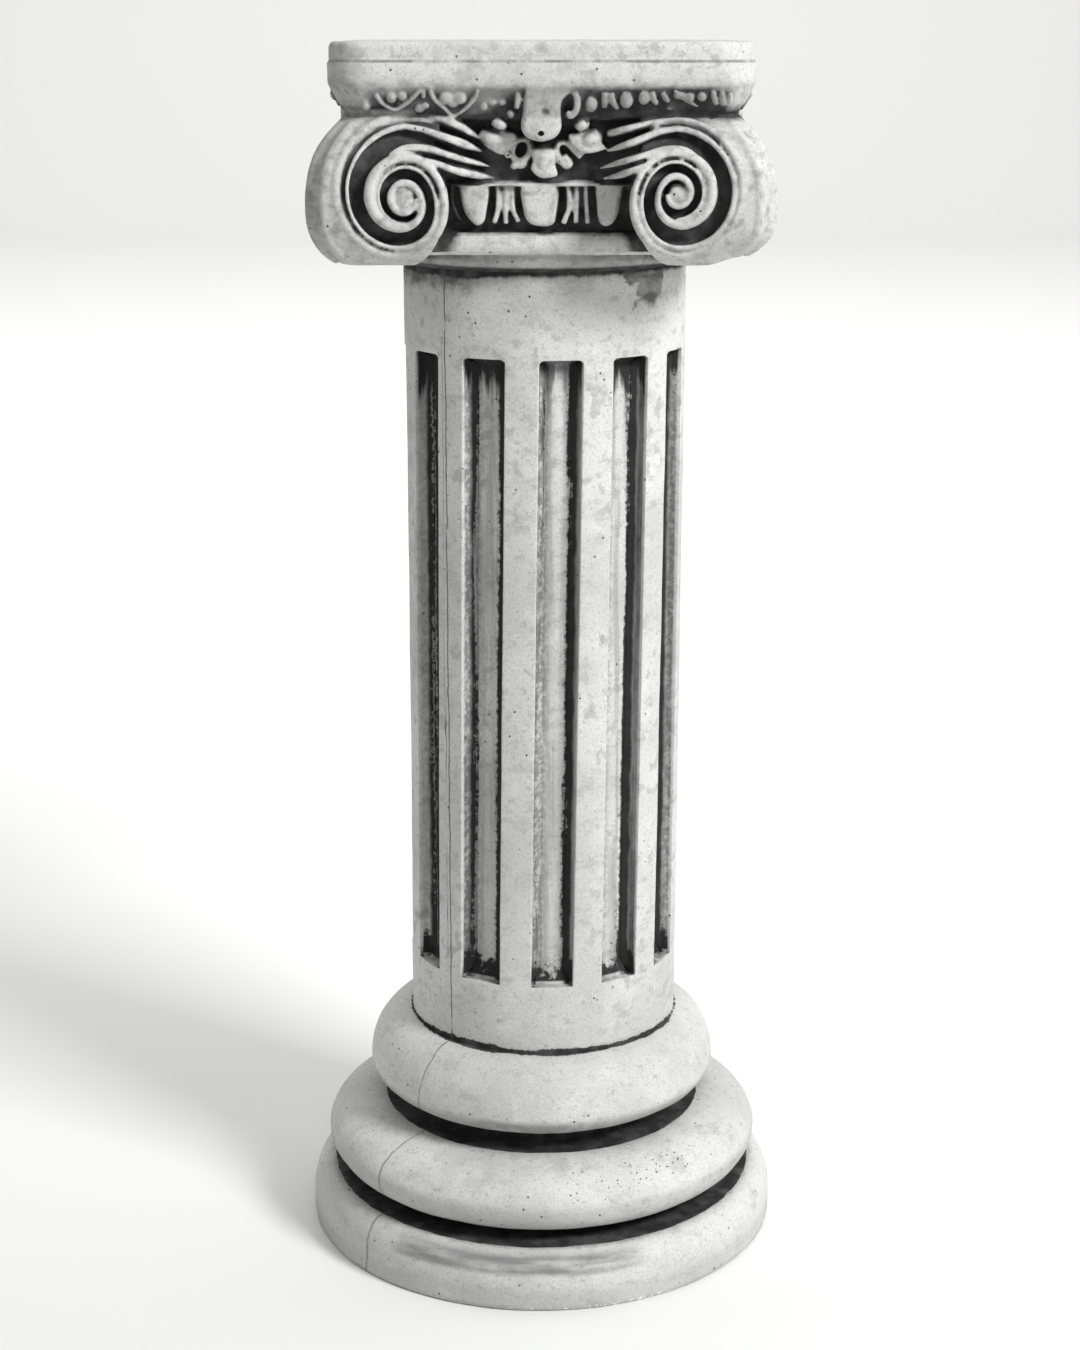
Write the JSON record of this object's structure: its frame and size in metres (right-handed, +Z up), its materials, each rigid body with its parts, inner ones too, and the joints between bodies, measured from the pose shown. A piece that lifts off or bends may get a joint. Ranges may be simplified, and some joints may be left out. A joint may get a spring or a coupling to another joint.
{
  "type": "garden column",
  "caption": "Cast concrete garden column with a four-sided Ionic capital, a fluted round shaft and a round base of two fat rings on a disc.",
  "frame": {"origin": "middle of the round underside, on the ground", "axes": "+Z up along the shaft, -Y out of the front face of the capital, +X to the right of that face"},
  "size_m": [0.3218, 0.3218, 0.8],
  "materials": {
    "cast_stone": "cast concrete, fine grained and matt, with near-black patina left in the recesses and wiped off the high points"
  },
  "bodies": {
    "root": {"column": "cast_stone"}
  },
  "joints": []
}
